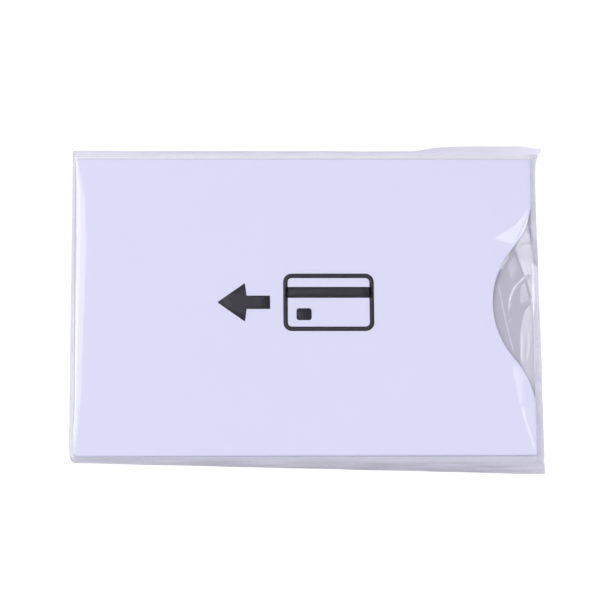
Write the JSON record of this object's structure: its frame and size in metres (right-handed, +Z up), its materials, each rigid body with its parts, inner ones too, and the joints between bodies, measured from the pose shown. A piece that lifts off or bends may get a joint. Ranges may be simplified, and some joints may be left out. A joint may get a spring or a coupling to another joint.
{
  "type": "rfid card sleeve",
  "caption": "Flat foil-lined paper sleeve for a bank-size card, with a curved thumb notch at its open end, lying in a clear film bag that it slides out of.",
  "frame": {"origin": "centre of the bag's outline, on the flat face that it rests on", "axes": "+X along the sleeve towards its open end and the bag's mouth, +Y across it towards the folded spine, +Z up through the front panel"},
  "size_m": [0.093, 0.0662, 0.0022],
  "materials": {
    "paper_white": "coated, cool white, soft satin",
    "foil_silver": "matt rolled foil laminated to the paper",
    "glue_clear": "dried adhesive film",
    "film_clear": "clear glossy packing film, lightly crinkled",
    "film_welded": "doubled film, heat welded, slightly cloudy"
  },
  "bodies": {
    "bag": {"bag_front_film": "film_clear", "bag_back_film": "film_clear", "bag_end_fold": "film_clear", "bag_upper_weld": "film_welded", "bag_lower_weld": "film_welded"},
    "sleeve": {"front_panel_paper": "paper_white", "front_panel_foil": "foil_silver", "back_panel_paper": "paper_white", "back_panel_foil": "foil_silver", "spine_fold_paper": "paper_white", "spine_fold_foil": "foil_silver", "seam_fold_paper": "paper_white", "seam_fold_foil": "foil_silver", "end_fold_paper": "paper_white", "end_fold_foil": "foil_silver", "seam_flap_paper": "paper_white", "seam_flap_foil": "foil_silver", "end_flap_paper": "paper_white", "end_flap_foil": "foil_silver", "seam_glue": "glue_clear", "end_glue": "glue_clear"}
  },
  "joints": [
    {"name": "sleeve_slide", "type": "slide", "parent": "bag", "child": "sleeve", "axis": [1, 0, 0], "range_m": [0, 0.095]}
  ]
}
